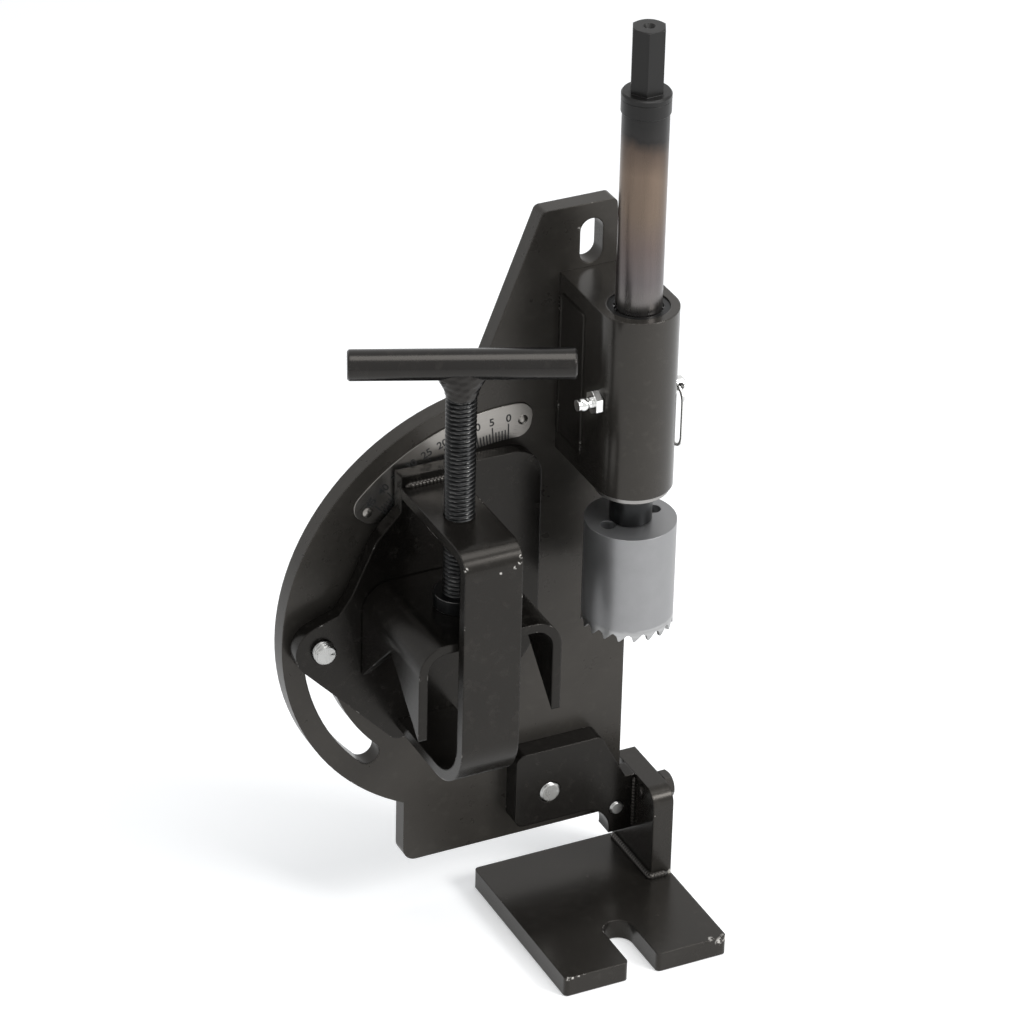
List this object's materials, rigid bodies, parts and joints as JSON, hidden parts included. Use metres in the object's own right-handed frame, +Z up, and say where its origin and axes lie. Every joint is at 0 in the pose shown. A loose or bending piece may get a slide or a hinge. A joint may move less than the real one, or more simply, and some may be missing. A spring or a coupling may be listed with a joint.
{
  "type": "tube notcher",
  "caption": "Bench tube notcher: a swinging clamp arm holds a tube at an angle under a hole saw on a sliding, turning spindle.",
  "frame": {"origin": "on the underside of the foot plate, straight below the spindle axis", "axes": "+Z up along the spindle axis, +X to the right and +Y away from a user who faces the clamp, main plate in an XZ plane"},
  "size_m": [0.1744, 0.0955, 0.4199],
  "materials": {
    "black_paint": "satin black enamel with chipped edges",
    "housing_paint": "semi-gloss dark grey enamel",
    "gloss_paint": "gloss black enamel, worn",
    "bright_zinc": "bright zinc plate",
    "turned_steel": "turned and lightly oiled",
    "tempered_steel": "heat treated, with temper colours running from black through brown to bare steel",
    "black_oxide": "black oxide",
    "saw_paint": "light grey enamel with bare teeth",
    "scale_aluminium": "brushed, with black marks",
    "bearing_steel": "ground and hardened",
    "bright_plate": "bright nickel plate"
  },
  "bodies": {
    "stand": {"foot_plate": "black_paint", "foot_upright": "black_paint", "foot_flange": "black_paint", "foot_bolts": "bright_zinc", "upright_bolt": "bright_zinc", "main_plate": "black_paint", "angle_scale": "scale_aluminium", "scale_rivets": "scale_aluminium", "spindle_housing": "housing_paint", "housing_bolts": "bright_zinc", "upper_bearing_cup": "bearing_steel", "lower_bearing_cup": "bearing_steel", "grease_nipple": "bright_plate"},
    "needles": {"upper_needles": "bearing_steel", "lower_needles": "bearing_steel"},
    "swing_arm": {"arm_plate": "black_paint", "pivot_bolt": "bright_zinc", "pivot_spacer": "turned_steel", "lock_bolt": "bright_zinc", "lock_spacer": "turned_steel", "arm_washers": "bright_zinc", "clamp_strap": "black_paint"},
    "saddle": {"saddle": "black_paint"},
    "clamp_screw": {"clamp_screw": "black_oxide", "swivel_collar": "black_oxide", "swivel_tip": "black_oxide", "weld_collar": "gloss_paint", "handle_bar": "gloss_paint"},
    "spindle_feed": {"thrust_washer": "turned_steel"},
    "spindle": {"spindle": "tempered_steel", "arbor_collar": "black_oxide", "hole_saw": "saw_paint"},
    "lock_pin": {"lock_pin": "bright_plate"},
    "pull_ring": {"pull_ring": "bright_plate"}
  },
  "joints": [
    {"name": "arm_swing", "type": "hinge", "parent": "stand", "child": "swing_arm", "pos_m": [-0.0385, 0.041, 0.149], "axis": [0, -1, 0], "range_deg": [0, 45]},
    {"name": "clamp_travel", "type": "slide", "parent": "swing_arm", "child": "saddle", "axis": [0, 0, 1], "range_m": [-0.016, 0.03]},
    {"name": "screw_turn", "type": "hinge", "parent": "saddle", "child": "clamp_screw", "pos_m": [-0.0775, 0, 0.2], "axis": [0, 0, 1], "range_deg": [-2955, 5535]},
    {"name": "spindle_feed", "type": "slide", "parent": "stand", "child": "spindle_feed", "axis": [0, 0, -1], "range_m": [0, 0.057]},
    {"name": "spindle_spin", "type": "hinge", "parent": "spindle_feed", "child": "spindle", "pos_m": [0, 0, 0.25], "axis": [0, 0, -1], "continuous": true},
    {"name": "needle_roll", "type": "hinge", "parent": "stand", "child": "needles", "pos_m": [0, 0, 0.25], "axis": [0, 0, -1], "continuous": true},
    {"name": "lock_pin_pull", "type": "slide", "parent": "stand", "child": "lock_pin", "axis": [1, 0, 0], "range_m": [0, 0.005]},
    {"name": "ring_swing", "type": "hinge", "parent": "lock_pin", "child": "pull_ring", "pos_m": [0.0188, 0, 0.2576], "axis": [0, -1, 0], "range_deg": [-2, 80]}
  ],
  "couplings": [
    {"joint": "screw_turn", "follows": "clamp_travel", "rad_per_m": 3215.8},
    {"joint": "needle_roll", "follows": "spindle_spin", "ratio": 0.4488}
  ]
}
